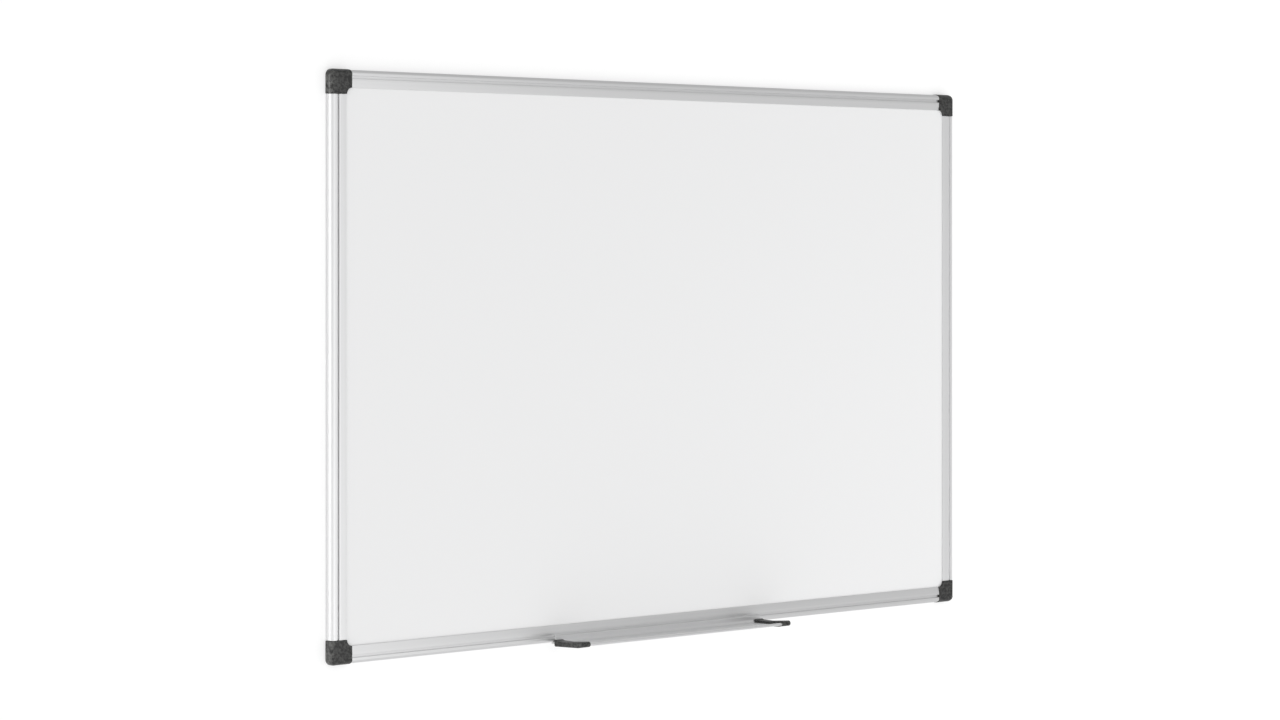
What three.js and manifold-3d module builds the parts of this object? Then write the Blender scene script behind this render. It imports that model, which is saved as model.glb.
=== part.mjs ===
// Wall-hung magnetic whiteboard. A lacquered steel panel sits in four aluminium rails that are
// joined by moulded corners. Covers pull off the corners and give way to the wall screws, and a
// pen tray hooks into the slot of the bottom rail and slides along it.
//
// Everything is drawn flat and in millimetres: x to the right, y up the board, and q, the depth
// off the wall, towards the viewer. The last group stands the drawing up, so that +Z is up, the
// wall is at Y = 0 and the writing side faces -Y.

import * as THREE from 'three';
import { mergeVertices } from 'three/addons/utils/BufferGeometryUtils.js';
import Module from 'manifold-3d';

const wasm = await Module();
wasm.setup();

// Board, measured over the rails
const boardWidth = 900;
const boardHeight = 600;

// Clearances
const seatGap = 0.3;
const glueLine = 0.2;
const hookGap = 0.25;
const overrun = 5;
const rimOverrun = 2;
const weldDistance = 0.0001;

// Rail section: p runs inwards from the outer face of the rail
const railDepth = 11;
const railFace = 18.4;
const railWall = 1.2;
const railBackLip = 15;
const noseRadius = 4;
const railEdgeRadius = 0.3;
const chamberRadius = 2.2;
const slotStart = 6.2;
const slotWidth = 3;
const slotDepth = 1.8;
const slotUndercut = 1;
const slotLip = 0.7;
const slotEndWall = 1;
const ridgeWidth = 2.3;
const ridgeRadius = 0.8;
const lipTip = 0.7;

// Panel, from its front: lacquered sheet, core and backing
const panelRecess = 1.8;
const sheetThickness = 0.4;
const backingThickness = 0.3;
const panelCornerRadius = 1.5;

// Corner covers
const coverNotchRadius = 6.2;
const coverLap = 0.1;
const coverProud = 0.6;
const coverWall = 1.4;
const coverCornerRadius = 6.5;
const coverEndRadius = 2.6;
const coverEdgeRadius = 0.5;
const coverBackGap = 0.4;
const pegRadius = 1.6;
const pegLength = 6;
const pegTaper = 0.6;
const pegAlong = 19;

// Corner connectors
const legReach = 38;
const legTaperLength = 5;
const legTaper = 1.2;
const legSkin = 1.3;
const legRoof = 1.5;
const legPocket = 6.5;
const legRib = 2;
const legPockets = 4;
const coreStart = 12.4;
const coreLength = 3.8;
const coreSkin = 1.5;
const coreRoof = 3.9;
const socketFloor = 3;

// Wall screws
const screwInset = 7.3;
const screwRadius = 2;
const screwLength = 40;
const screwTip = 5;
const screwHeadRadius = 3.8;
const screwHeadRim = 0.4;
const screwSunk = 1.3;
const recessSpan = 4;
const recessWidth = 0.9;
const recessDepth = 1.6;

// Pen tray: y is measured from the lower edge of the frame
const trayLength = 296;
const trayOffset = -13;
const trayThickness = 1.3;
const hookLeg = 1.2;
const heelReach = 6.3;
const trayRootRadius = 4;
const trayBendRadius = 20;
const trayEdgeRadius = 0.25;
const keelReach = 39;
const keelRise = 0.8;
const beadReach = 44.5;
const beadRise = 1.6;
const beadRadius = 1.5;

// Tray end caps
const capWall = 2;
const capSleeve = 9;
const capBevel = 0.5;
const capFrontWall = 1.1;
const capNoseLift = 0.5;
const capHeel = 3.7;
const capKeel = 1.8;
const capTop = 4.5;
const capBackTop = 1;
const capBumpTop = 4.1;
const capBumpStart = 5;
const capBumpEnd = 14.5;
const capWaist = 19.5;
const capWaistTop = 3;
const capCornerRadius = 1.5;
const capBendRadius = 12;

// Fineness of the round forms
const filletSteps = 3;
const noseSteps = 6;
const planSteps = 6;
const frontSteps = 10;
const roundSides = 20;
const filletShare = 0.49;

// Colours and finishes
const lacquer = { color: 0xf0f0f0, roughness: 0.28, metalness: 0 };
const fibreboard = { color: 0xa88a63, roughness: 0.9, metalness: 0 };
const foil = { color: 0xb9bbbd, roughness: 0.45, metalness: 1 };
const anodised = { color: 0xd0d1d2, roughness: 0.38, metalness: 1 };
const anthracite = { color: 0x464644, roughness: 0.6, metalness: 0 };
const blackPlastic = { color: 0x2b2b2b, roughness: 0.65, metalness: 0 };
const zincPlate = { color: 0xc4c3bd, roughness: 0.35, metalness: 1 };

// Places that follow from the sizes above
const noseQ = railDepth - noseRadius;
const panelFront = railDepth - panelRecess;
const panelBack = railWall + seatGap;
const lipUnderside = panelFront + seatGap;
const slotEnd = slotStart + slotWidth;
const slotFloor = railDepth - slotDepth;
const webEnd = slotEnd + slotUndercut + slotEndWall;
const chamberEnd = webEnd - railWall;
const chamberTop = slotFloor - railWall;
const coverArm = railFace + coverNotchRadius + coverLap;
const coverFront = railDepth + coverProud;
const cavitySide = coverWall - coverProud;
const cavityTop = coverFront - coverWall;
const connectorSide = cavitySide + seatGap;
const connectorTop = cavityTop - seatGap;
const armMiddle = (connectorSide + webEnd) / 2;
const screwHeadTop = connectorTop - screwSunk;
const screwHeadBase = screwHeadTop - screwHeadRim - (screwHeadRadius - screwRadius);
const flangeBack = railDepth + seatGap;
const flangeFront = flangeBack + trayThickness;
const quarter = Math.PI / 2;

// Points of an arc about (x, y), both ends included.
function arcPoints(x, y, radius, from, to, steps) {
  return Array.from({ length: steps + 1 }, (_, i) => {
    const angle = from + ((to - from) * i) / steps;
    return new THREE.Vector2(x + radius * Math.cos(angle), y + radius * Math.sin(angle));
  });
}

// Closed outline through corners given as [x, y, radius]. Each fillet stays inside its walls.
function roundedOutline(corners, steps = filletSteps) {
  return corners.flatMap(([x, y, radius = 0], i) => {
    const here = new THREE.Vector2(x, y);
    const [beforeX, beforeY] = corners.at(i - 1);
    const [afterX, afterY] = corners[(i + 1) % corners.length];
    const back = new THREE.Vector2(beforeX, beforeY).sub(here);
    const ahead = new THREE.Vector2(afterX, afterY).sub(here);
    if (radius === 0) return [here];
    const room = filletShare * Math.min(back.length(), ahead.length());
    back.normalize();
    ahead.normalize();
    const half = Math.acos(back.dot(ahead)) / 2;
    const reach = Math.min(radius / Math.tan(half), room);
    const fitted = reach * Math.tan(half);
    const centre = back.clone().add(ahead).setLength(fitted / Math.sin(half)).add(here);
    const from = back.multiplyScalar(reach).add(here).sub(centre).angle();
    const to = ahead.multiplyScalar(reach).add(here).sub(centre).angle();
    const turn = THREE.MathUtils.euclideanModulo(to - from + Math.PI, 4 * quarter) - Math.PI;
    return arcPoints(centre.x, centre.y, fitted, from, from + turn, steps);
  });
}

// Closed skin over outlines of equal point counts, stacked as [outline, height], lowest first.
function loft(layers) {
  const count = layers[0][0].length;
  const points = layers.flatMap(([outline, height]) => outline.flatMap(({ x, y }) => [x, y, height]));
  const faces = [];
  for (let layer = 0; layer < layers.length - 1; layer += 1) {
    for (let i = 0; i < count; i += 1) {
      const low = layer * count + i;
      const lowNext = layer * count + ((i + 1) % count);
      faces.push(low, lowNext, lowNext + count, low, lowNext + count, low + count);
    }
  }
  const lastLayer = (layers.length - 1) * count;
  for (const [a, b, c] of THREE.ShapeUtils.triangulateShape(layers[0][0], [])) faces.push(c, b, a);
  for (const [a, b, c] of THREE.ShapeUtils.triangulateShape(layers.at(-1)[0], [])) {
    faces.push(lastLayer + a, lastLayer + b, lastLayer + c);
  }
  const geometry = new THREE.BufferGeometry();
  geometry.setAttribute('position', new THREE.Float32BufferAttribute(points, 3));
  geometry.setIndex(faces);
  return geometry;
}

// Turns a form drawn as (y, q) and drawn out along its third axis so that it runs along x.
function alongX(geometry) {
  const [x, y, q] = [new THREE.Vector3(1, 0, 0), new THREE.Vector3(0, 1, 0), new THREE.Vector3(0, 0, 1)];
  return geometry.applyMatrix4(new THREE.Matrix4().makeBasis(y, q, x));
}

// Swaps x and y, which carries a form from one arm of a corner to the other.
function acrossDiagonal(geometry) {
  const [x, y, q] = [new THREE.Vector3(1, 0, 0), new THREE.Vector3(0, 1, 0), new THREE.Vector3(0, 0, 1)];
  const swapped = geometry.clone().applyMatrix4(new THREE.Matrix4().makeBasis(y, x, q));
  const indexed = swapped.index ? swapped : mergeVertices(swapped);
  indexed.setIndex(Array.from(indexed.index.array).reverse());
  return indexed;
}

// Bar of a constant section, from x = 0 to its length.
function bar(outline, length, holes = []) {
  const shape = new THREE.Shape(outline);
  shape.holes = holes.map((hole) => new THREE.Path(hole));
  return alongX(new THREE.ExtrudeGeometry(shape, { depth: length, bevelEnabled: false }));
}

// Block between two corners.
function block([x0, y0, q0], [x1, y1, q1]) {
  const box = new THREE.BoxGeometry(x1 - x0, y1 - y0, q1 - q0);
  return box.translate((x0 + x1) / 2, (y0 + y1) / 2, (q0 + q1) / 2);
}

// Turned form about an axis that stands off the wall at (x, y), from [radius, q] points.
function turned(profile, x, y) {
  const points = profile.map(([radius, q]) => new THREE.Vector2(radius, q));
  return new THREE.LatheGeometry(points, roundSides).rotateX(quarter).translate(x, y, 0);
}

function solidOf(geometry) {
  const bare = geometry.clone();
  bare.deleteAttribute('normal');
  bare.deleteAttribute('uv');
  const merged = mergeVertices(bare, weldDistance);
  const triVerts = [];
  for (let i = 0; i < merged.index.count; i += 3) {
    const [a, b, c] = merged.index.array.slice(i, i + 3);
    if (a !== b && b !== c && c !== a) triVerts.push(a, b, c);
  }
  return new wasm.Manifold(new wasm.Mesh({
    numProp: 3,
    vertProperties: new Float32Array(merged.attributes.position.array),
    triVerts: new Uint32Array(triVerts),
  }));
}

function geometryOf(solid) {
  const { vertProperties, triVerts } = solid.getMesh();
  const geometry = new THREE.BufferGeometry();
  geometry.setAttribute('position', new THREE.BufferAttribute(vertProperties, 3));
  geometry.setIndex(new THREE.BufferAttribute(triVerts, 1));
  return geometry;
}

function joined(first, ...others) {
  return others.reduce((solid, geometry) => solid.add(solidOf(geometry)), solidOf(first));
}

function cut(solid, ...tools) {
  return tools.reduce((rest, geometry) => rest.subtract(solidOf(geometry)), solid);
}

function piece(name, geometry, finish) {
  const mesh = new THREE.Mesh(geometry, new THREE.MeshStandardMaterial(finish));
  mesh.name = name;
  return mesh;
}

// Rails

// The front carries the rounded nose, a flat band, the undercut slot, a ridge, and a lip that
// slopes down to the panel. The pocket behind the lip holds the panel's edge.
function railOutline() {
  const slope = lipUnderside + lipTip;
  return roundedOutline([
    [0, 0, railEdgeRadius],
    [railBackLip, 0, railEdgeRadius],
    [railBackLip, railWall, railEdgeRadius],
    [webEnd, railWall],
    [webEnd, lipUnderside],
    [railFace, lipUnderside, railEdgeRadius],
    [railFace, slope, railEdgeRadius],
    [slotEnd + ridgeWidth, railDepth, ridgeRadius],
    [slotEnd, railDepth, railEdgeRadius],
    [slotEnd, railDepth - slotLip],
    [slotEnd + slotUndercut, railDepth - slotLip],
    [slotEnd + slotUndercut, slotFloor],
    [slotStart, slotFloor, railEdgeRadius],
    [slotStart, railDepth, railEdgeRadius],
    [0, railDepth, noseRadius],
  ], noseSteps);
}

// The hollow along the rail takes the connectors' legs. A bigger inset gives the leg itself.
function chamberOutline(inset) {
  const low = railWall + inset;
  return roundedOutline([
    [low, low],
    [chamberEnd - inset, low],
    [chamberEnd - inset, chamberTop - inset],
    [low, chamberTop - inset, chamberRadius - inset],
  ], filletSteps);
}

function railGeometry(side) {
  const length = side - 2 * (coverArm + seatGap);
  return bar(railOutline(), length, [chamberOutline(0)]).translate(-length / 2, 0, 0);
}

// Panel

function panelLayer(back, front) {
  const inset = webEnd + seatGap;
  const [x, y] = [boardWidth / 2 - inset, boardHeight / 2 - inset];
  const outline = roundedOutline([
    [-x, -y, panelCornerRadius],
    [x, -y, panelCornerRadius],
    [x, y, panelCornerRadius],
    [-x, y, panelCornerRadius],
  ]);
  return loft([[outline, back], [outline, front]]);
}

// Corners: u and v run inwards from the outer corner of the frame, along the two rails

// Plan of a corner moulding: its outer sides lie inside the rail faces by one distance, and its
// arm ends and its concave notch lie inside those of the cover by another.
function cornerPlan(side, end) {
  const reach = coverArm - end;
  const corner = coverCornerRadius - coverProud - side;
  const notch = coverNotchRadius + end;
  const tuck = Math.asin(end / notch);
  return [
    ...arcPoints(side + corner, side + corner, corner, 2 * quarter, 3 * quarter, planSteps),
    ...arcPoints(reach - coverEndRadius, side + coverEndRadius, coverEndRadius, -quarter, 0, filletSteps),
    ...arcPoints(coverArm, coverArm, notch, 3 * quarter - tuck, 2 * quarter + tuck, planSteps),
    ...arcPoints(side + coverEndRadius, reach - coverEndRadius, coverEndRadius, quarter, 2 * quarter, filletSteps),
  ];
}

// Solid on that plan. Its outer sides round over the nose line that the rails have, and the edge
// of its top is softened by a small radius all round the arm ends and the notch.
function cornerBlock(side, end, low, high, edge = 0) {
  const radius = noseRadius - side;
  const angleAt = (q) => Math.asin(Math.min(1, (q - noseQ) / radius));
  const start = angleAt(Math.max(low, noseQ));
  const heights = low < noseQ ? [low] : [];
  for (let i = 0; i <= noseSteps; i += 1) {
    heights.push(noseQ + radius * Math.sin(start + ((angleAt(high) - start) * i) / noseSteps));
  }
  const layers = heights.map((q) => {
    const sideHere = noseRadius - radius * Math.cos(angleAt(Math.max(q, noseQ)));
    const above = Math.max(0, q - (high - edge));
    const endHere = end + edge - Math.sqrt(Math.max(0, edge * edge - above * above));
    return [cornerPlan(sideHere, endHere), q];
  });
  return loft(layers);
}

// Shell that hides the connector. Its rim stands just above the panel, and two pegs under its
// plate press into the connector's sockets.
function coverGeometry() {
  const peg = turned([
    [0, cavityTop - pegLength],
    [pegRadius - pegTaper, cavityTop - pegLength],
    [pegRadius, cavityTop - pegLength + pegTaper],
    [pegRadius, cavityTop + coverWall / 2],
    [0, cavityTop + coverWall / 2],
  ], pegAlong, armMiddle);
  const shell = cut(
    solidOf(cornerBlock(-coverProud, 0, coverBackGap, coverFront, coverEdgeRadius)),
    cornerBlock(cavitySide, -rimOverrun, -overrun, lipUnderside),
    cornerBlock(cavitySide, coverWall, noseQ, cavityTop),
  );
  return geometryOf(shell.add(solidOf(peg)).add(solidOf(acrossDiagonal(peg))));
}

// One leg of a connector, with the moulder's pockets and cross ribs on its wall side.
function legSolid() {
  const root = coverArm - coverWall;
  const tip = coverArm + legReach;
  const leg = loft([
    [chamberOutline(seatGap), root],
    [chamberOutline(seatGap), tip - legTaperLength],
    [chamberOutline(seatGap + legTaper), tip],
  ]);
  const sideIn = railWall + seatGap + legSkin;
  const pockets = Array.from({ length: legPockets }, (_, i) => {
    const start = coverArm + legRib + i * (legPocket + legRib);
    return block(
      [start, sideIn, -overrun],
      [start + legPocket, chamberEnd - seatGap - legSkin, chamberTop - seatGap - legRoof],
    );
  });
  return geometryOf(cut(solidOf(alongX(leg)), ...pockets));
}

// Moulded corner that joins two rails: a block under the cover, a leg into each rail, a pocket
// round the corner of the panel, and a countersunk hole for the wall screw.
function connectorGeometry() {
  const leg = legSolid();
  const far = coverArm + overrun;
  const body = joined(
    cornerBlock(connectorSide, seatGap, 0, lipUnderside - seatGap),
    cornerBlock(connectorSide, coverWall + seatGap, 0, connectorTop),
    leg,
    acrossDiagonal(leg),
  );
  const core = block(
    [coreStart, connectorSide + coreSkin, -overrun],
    [coreStart + coreLength, webEnd - coreSkin, connectorTop - coreRoof],
  );
  const socket = turned([
    [0, socketFloor],
    [pegRadius + seatGap, socketFloor],
    [pegRadius + seatGap, connectorTop + overrun],
    [0, connectorTop + overrun],
  ], pegAlong, armMiddle);
  const screwHole = turned([
    [0, -overrun],
    [screwRadius + seatGap, -overrun],
    [screwRadius + seatGap, screwHeadBase],
    [screwHeadRadius + seatGap, screwHeadTop - screwHeadRim],
    [screwHeadRadius + seatGap, connectorTop + overrun],
    [0, connectorTop + overrun],
  ], screwInset, screwInset);
  return geometryOf(cut(
    body,
    block([webEnd, webEnd, railWall], [far, far, lipUnderside]),
    block([railBackLip, railBackLip, -overrun], [far, far, railWall]),
    core,
    acrossDiagonal(core),
    socket,
    acrossDiagonal(socket),
    screwHole,
  ));
}

// Countersunk screw with a cross recess. Its shank runs on into the wall behind the board.
function wallScrewGeometry() {
  const tip = screwHeadTop - screwLength;
  const screw = turned([
    [0, tip],
    [screwRadius, tip + screwTip],
    [screwRadius, screwHeadBase],
    [screwHeadRadius, screwHeadTop - screwHeadRim],
    [screwHeadRadius, screwHeadTop],
    [0, screwHeadTop],
  ], screwInset, screwInset);
  const wing = block(
    [screwInset - recessSpan / 2, screwInset - recessWidth / 2, screwHeadTop - recessDepth],
    [screwInset + recessSpan / 2, screwInset + recessWidth / 2, screwHeadTop + overrun],
  );
  return geometryOf(cut(solidOf(screw), wing, acrossDiagonal(wing)));
}

// Pen tray

// Upper or lower corners of the shelf, from its root to its bend, moved out from it by a distance.
function shelfLine(above) {
  const root = -seatGap - trayThickness / 2;
  return [
    [root + above, flangeFront],
    [root + keelRise + above, flangeFront + keelReach],
  ];
}

// Corners of a round front edge about (y, q), from its lowest point round the front to an angle.
function frontArc(y, q, radius, end) {
  return arcPoints(y, q, radius, 2 * quarter, end, frontSteps).map((point) => [point.x, point.y]);
}

// Corners of the bead along the front edge, from below round to where the shelf's upper side meets
// it, all moved out by a distance. The underside of the shelf runs into the bottom of the bead.
function beadCorners(grow) {
  const radius = beadRadius + grow;
  const shelfTop = trayThickness - beadRadius + grow;
  return frontArc(beadRise, flangeFront + beadReach, radius, -Math.acos(shelfTop / radius));
}

// Section of the tray: a hook in the rail's slot, a flange down the rail, a heel under it, the
// shelf, which rises to the front, and the bead.
function trayOutline() {
  const half = trayThickness / 2;
  const [, [keelLow, keelQ]] = shelfLine(-half);
  const [[rootHigh], [keelHigh]] = shelfLine(half);
  const hookBack = slotFloor + hookGap;
  const hookFront = railDepth - slotLip - hookGap;
  const hookLow = slotStart + seatGap;
  const hookTop = slotEnd + slotUndercut - seatGap;
  return roundedOutline([
    [hookLow, flangeBack],
    [-seatGap, flangeBack, trayEdgeRadius],
    [-seatGap, flangeBack - heelReach, trayEdgeRadius],
    [-seatGap - trayThickness, flangeBack - heelReach, trayEdgeRadius],
    [-seatGap - trayThickness, flangeFront],
    [keelLow, keelQ, trayBendRadius],
    ...beadCorners(0),
    [keelHigh, keelQ, trayBendRadius],
    [rootHigh, flangeFront, trayRootRadius],
    [hookLow + hookLeg, flangeFront, trayThickness],
    [hookLow + hookLeg, hookFront],
    [hookTop, hookFront, trayEdgeRadius],
    [hookTop, hookBack, trayEdgeRadius],
    [hookLow, hookBack, trayEdgeRadius],
  ], noseSteps);
}

// Slot in an end cap that takes the end of the shelf, its bead and the flange, with clearance.
function capSlot() {
  const half = trayThickness / 2 + seatGap;
  const [[rootLow], [keelLow, keelQ]] = shelfLine(-half);
  const [[rootHigh], [keelHigh]] = shelfLine(half);
  return roundedOutline([
    [rootLow, flangeFront - overrun],
    [rootLow, flangeFront],
    [keelLow, keelQ],
    ...beadCorners(seatGap),
    [keelHigh, keelQ],
    [rootHigh, flangeFront + seatGap, trayRootRadius - seatGap],
    [capBumpTop + overrun, flangeFront + seatGap],
    [capBumpTop + overrun, flangeFront - overrun],
  ], noseSteps);
}

// Outline of an end cap: a keel below, a rounded nose round the bead and a bump at the root.
function capOutline() {
  const front = beadRadius + seatGap + capFrontWall;
  return roundedOutline([
    [-capHeel, flangeFront, capCornerRadius],
    [-capKeel, flangeFront + keelReach, capBendRadius],
    ...frontArc(beadRise + capNoseLift, flangeFront + beadReach, front, 0),
    [capTop, flangeFront + keelReach, capBendRadius],
    [capWaistTop, flangeFront + capWaist, capCornerRadius],
    [capBumpTop, flangeFront + capBumpEnd, capCornerRadius],
    [capBumpTop, flangeFront + capBumpStart, capCornerRadius],
    [capBackTop, flangeFront, capCornerRadius],
  ], noseSteps);
}

// End cap drawn for the right-hand end. Its end wall starts at x = 0, and its sleeve lies before.
function endCapGeometry() {
  const shape = new THREE.Shape(capOutline());
  const body = alongX(new THREE.ExtrudeGeometry(shape, {
    depth: capWall + capSleeve - 2 * capBevel,
    bevelEnabled: true,
    bevelThickness: capBevel,
    bevelSize: capBevel,
    bevelOffset: -capBevel,
    bevelSegments: 2,
  })).translate(capBevel - capSleeve, 0, 0);
  const slot = bar(capSlot(), capSleeve + overrun).translate(-capSleeve - overrun, 0, 0);
  return geometryOf(cut(solidOf(body), slot));
}

function mirroredX(geometry) {
  const flipped = geometry.clone().scale(-1, 1, 1);
  flipped.setIndex(Array.from(flipped.index.array).reverse());
  return flipped;
}

// Assembly

const board = new THREE.Group();
board.rotation.x = quarter;

const layers = [
  ['backing_sheet', backingThickness, foil],
  ['panel_core', panelFront - panelBack - backingThickness - sheetThickness - 2 * glueLine, fibreboard],
  ['writing_sheet', sheetThickness, lacquer],
];
let layerBack = panelBack;
for (const [name, thickness, finish] of layers) {
  board.add(piece(name, panelLayer(layerBack, layerBack + thickness), finish));
  layerBack += thickness + glueLine;
}

// Quarter turns round the board: each side or corner is the last one turned by a right angle.
const rails = { wide: railGeometry(boardWidth), high: railGeometry(boardHeight) };
const sides = [
  ['bottom', 0, -boardHeight / 2, rails.wide],
  ['right', boardWidth / 2, 0, rails.high],
  ['top', 0, boardHeight / 2, rails.wide],
  ['left', -boardWidth / 2, 0, rails.high],
];
sides.forEach(([name, x, y, geometry], turns) => {
  const rail = piece(`rail_${name}`, geometry, anodised);
  rail.position.set(x, y, 0);
  rail.rotation.z = turns * quarter;
  board.add(rail);
});

const cornerPieces = [
  ['corner_connector', connectorGeometry(), blackPlastic],
  ['wall_screw', wallScrewGeometry(), zincPlate],
  ['corner_cover', coverGeometry(), anthracite],
];
const corners = [
  ['bottom_left', -boardWidth / 2, -boardHeight / 2],
  ['bottom_right', boardWidth / 2, -boardHeight / 2],
  ['top_right', boardWidth / 2, boardHeight / 2],
  ['top_left', -boardWidth / 2, boardHeight / 2],
];
corners.forEach(([place, x, y], turns) => {
  const corner = new THREE.Group();
  corner.position.set(x, y, 0);
  corner.rotation.z = turns * quarter;
  for (const [name, geometry, finish] of cornerPieces) {
    corner.add(piece(`${name}_${place}`, geometry, finish));
  }
  board.add(corner);
});

const tray = new THREE.Group();
tray.position.set(trayOffset, -boardHeight / 2, 0);
tray.add(piece('pen_tray', bar(trayOutline(), trayLength).translate(-trayLength / 2, 0, 0), anodised));
const endCap = endCapGeometry();
const rightCap = piece('tray_cap_right', endCap, anthracite);
rightCap.position.x = trayLength / 2 + seatGap;
const leftCap = piece('tray_cap_left', mirroredX(endCap), anthracite);
leftCap.position.x = -trayLength / 2 - seatGap;
tray.add(rightCap, leftCap);
board.add(tray);

const whiteboard = new THREE.Group();
whiteboard.add(board);

export default whiteboard;
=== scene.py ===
# %% [markdown]
# A wall-hung magnetic whiteboard is a thin, quiet object: a white lacquered sheet, four aluminium
# rails and a few dark mouldings. Nothing hides a careless surface, so this lesson spends its
# effort on true sections, small radii and finishes at the right scale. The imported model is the
# frame: it says where every piece is, and the fine pieces are drawn over the same places.

import math

import bmesh
import bpy
import numpy as np
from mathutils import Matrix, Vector
from mathutils.geometry import tessellate_polygon


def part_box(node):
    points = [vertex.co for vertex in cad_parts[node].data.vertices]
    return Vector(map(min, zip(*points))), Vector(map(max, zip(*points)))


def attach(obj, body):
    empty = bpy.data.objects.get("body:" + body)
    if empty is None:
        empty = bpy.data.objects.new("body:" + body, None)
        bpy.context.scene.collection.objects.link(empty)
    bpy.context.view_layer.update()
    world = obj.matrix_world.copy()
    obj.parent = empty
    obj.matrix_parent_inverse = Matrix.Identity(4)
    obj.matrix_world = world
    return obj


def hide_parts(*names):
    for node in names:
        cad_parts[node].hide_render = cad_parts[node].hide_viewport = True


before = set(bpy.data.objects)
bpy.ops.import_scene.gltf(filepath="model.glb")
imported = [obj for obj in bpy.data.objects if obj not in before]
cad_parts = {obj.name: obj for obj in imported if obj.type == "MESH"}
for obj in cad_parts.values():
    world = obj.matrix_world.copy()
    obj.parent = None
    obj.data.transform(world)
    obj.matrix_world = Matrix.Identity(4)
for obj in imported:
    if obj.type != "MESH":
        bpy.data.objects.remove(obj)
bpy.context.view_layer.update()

# %% [markdown]
# The frame stands with +Z up, the wall at Y = 0 and the writing side facing -Y. Outlines are
# easier to draw flat, so the fine pieces are drawn as (x, y, q): x to the right, y up the board
# and q off the wall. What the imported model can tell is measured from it. What it can't tell, such
# as a wall or a small radius, is named with its piece, in millimetres turned to metres.

# %% Sizes of the board
MM = 0.001
WELD = 0.001 * MM
SEAT_GAP = 0.3 * MM
QUARTER = math.pi / 2

rail_low, rail_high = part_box("rail_bottom")
RAIL_DEPTH = -rail_low.y
RAIL_FACE = rail_high.z - rail_low.z
BOARD_BOTTOM = rail_low.z
BOARD_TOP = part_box("rail_top")[1].z
BOARD_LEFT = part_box("rail_left")[0].x
BOARD_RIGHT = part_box("rail_right")[1].x
SHEET_FRONT = -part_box("writing_sheet")[0].y
print(f"Board {BOARD_RIGHT - BOARD_LEFT:.3f} x {BOARD_TOP - BOARD_BOTTOM:.3f} m")

# %% [markdown]
# The camera stands where the photographer stood: about forty degrees to the left of the board and
# a little above its middle, with a long lens. The upright edges of the board are exactly upright
# in the picture, so the camera is level and the lens is shifted down instead of tilted.

# %% Camera
CAMERA_PLACE = (-2.320, -2.655, 0.125)
CAMERA_TURN = math.radians(40.75)
CAMERA_LENS = 90.3
CAMERA_SHIFT = -0.0915


def new_object(name, data):
    """Object with that data, linked to the scene."""
    thing = bpy.data.objects.new(name, data)
    bpy.context.scene.collection.objects.link(thing)
    return thing


camera_data = bpy.data.cameras.new("camera")
camera_data.lens = CAMERA_LENS
camera_data.shift_y = CAMERA_SHIFT
camera = new_object("camera", camera_data)
camera.location = CAMERA_PLACE
camera.rotation_euler = (QUARTER, 0, -CAMERA_TURN)
bpy.context.scene.camera = camera
print(f"Camera {math.degrees(CAMERA_TURN):.2f} degrees to the left of the board's middle")

# %% [markdown]
# Every rail, tray and moulding starts as a closed outline with rounded corners. A bevel modifier
# could round a sharp outline afterwards, but the radii of an extrusion die differ from corner to
# corner, so each corner carries its own radius and becomes an arc.

# %% Outlines
MOST_OF_SIDE = 0.49


def arc(x, y, radius, start, end, steps):
    """Points of an arc: the centre plus the radius times the cosine and sine of even angles."""
    angle = np.linspace(start, end, steps + 1)
    return np.column_stack((x + radius * np.cos(angle), y + radius * np.sin(angle)))


def rounded(corners, steps):
    """Closed outline through rows of (x, y, radius), each corner turned by a touching arc.

    The arc's centre lies on the bisector of the corner, at the radius over the sine of half the
    corner's angle. The arc runs between the two points where it touches the sides, and its
    radius is held back where a side is too short for it.
    """
    corners = np.array([(*corner, 0)[:3] for corner in corners], float)
    here, radius = corners[:, :2], corners[:, 2]
    back, ahead = np.roll(here, 1, 0) - here, np.roll(here, -1, 0) - here
    back_length, ahead_length = np.linalg.norm(back, axis=1), np.linalg.norm(ahead, axis=1)
    back, ahead = back / back_length[:, None], ahead / ahead_length[:, None]
    half = np.arccos(np.clip((back * ahead).sum(1), -1, 1)) / 2
    room = MOST_OF_SIDE * np.minimum(back_length, ahead_length)
    reach = np.minimum(radius / np.tan(half), room)
    fitted = reach * np.tan(half)
    bisector = back + ahead
    bisector = bisector / np.linalg.norm(bisector, axis=1)[:, None]
    centre = here + bisector * (fitted / np.sin(half))[:, None]
    first, last = here + back * reach[:, None] - centre, here + ahead * reach[:, None] - centre
    start = np.arctan2(first[:, 1], first[:, 0])
    turn = (np.arctan2(last[:, 1], last[:, 0]) - start + math.pi) % (2 * math.pi) - math.pi
    angle = start[:, None] + turn[:, None] * np.linspace(0, 1, steps + 1)
    points = centre[:, None] + fitted[:, None, None] * np.stack((np.cos(angle), np.sin(angle)), -1)
    points[fitted < WELD] = here[fitted < WELD][:, None]
    points = points.reshape(-1, 2)
    return points[np.linalg.norm(points - np.roll(points, 1, 0), axis=1) > WELD]


def drawn_in(outline, distance):
    """The outline moved inwards: each point goes along the sum of the normals of its two sides,
    over one plus the cosine of the angle between them, times the distance."""
    side = np.roll(outline, -1, 0) - outline
    side = side / np.linalg.norm(side, axis=1)[:, None]
    after = np.roll(outline, -1, 0)
    area = (outline[:, 0] * after[:, 1] - outline[:, 1] * after[:, 0]).sum()
    normal = np.sign(area) * np.column_stack((-side[:, 1], side[:, 0]))
    before = np.roll(normal, 1, 0)
    return outline + distance * (normal + before) / (1 + (normal * before).sum(1))[:, None]


square = rounded([(0, 0, 1), (4, 0, 1), (4, 4, 1), (0, 4, 1)], steps=6)
print("An outline of a square with rounded corners has", len(square), "points")

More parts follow.
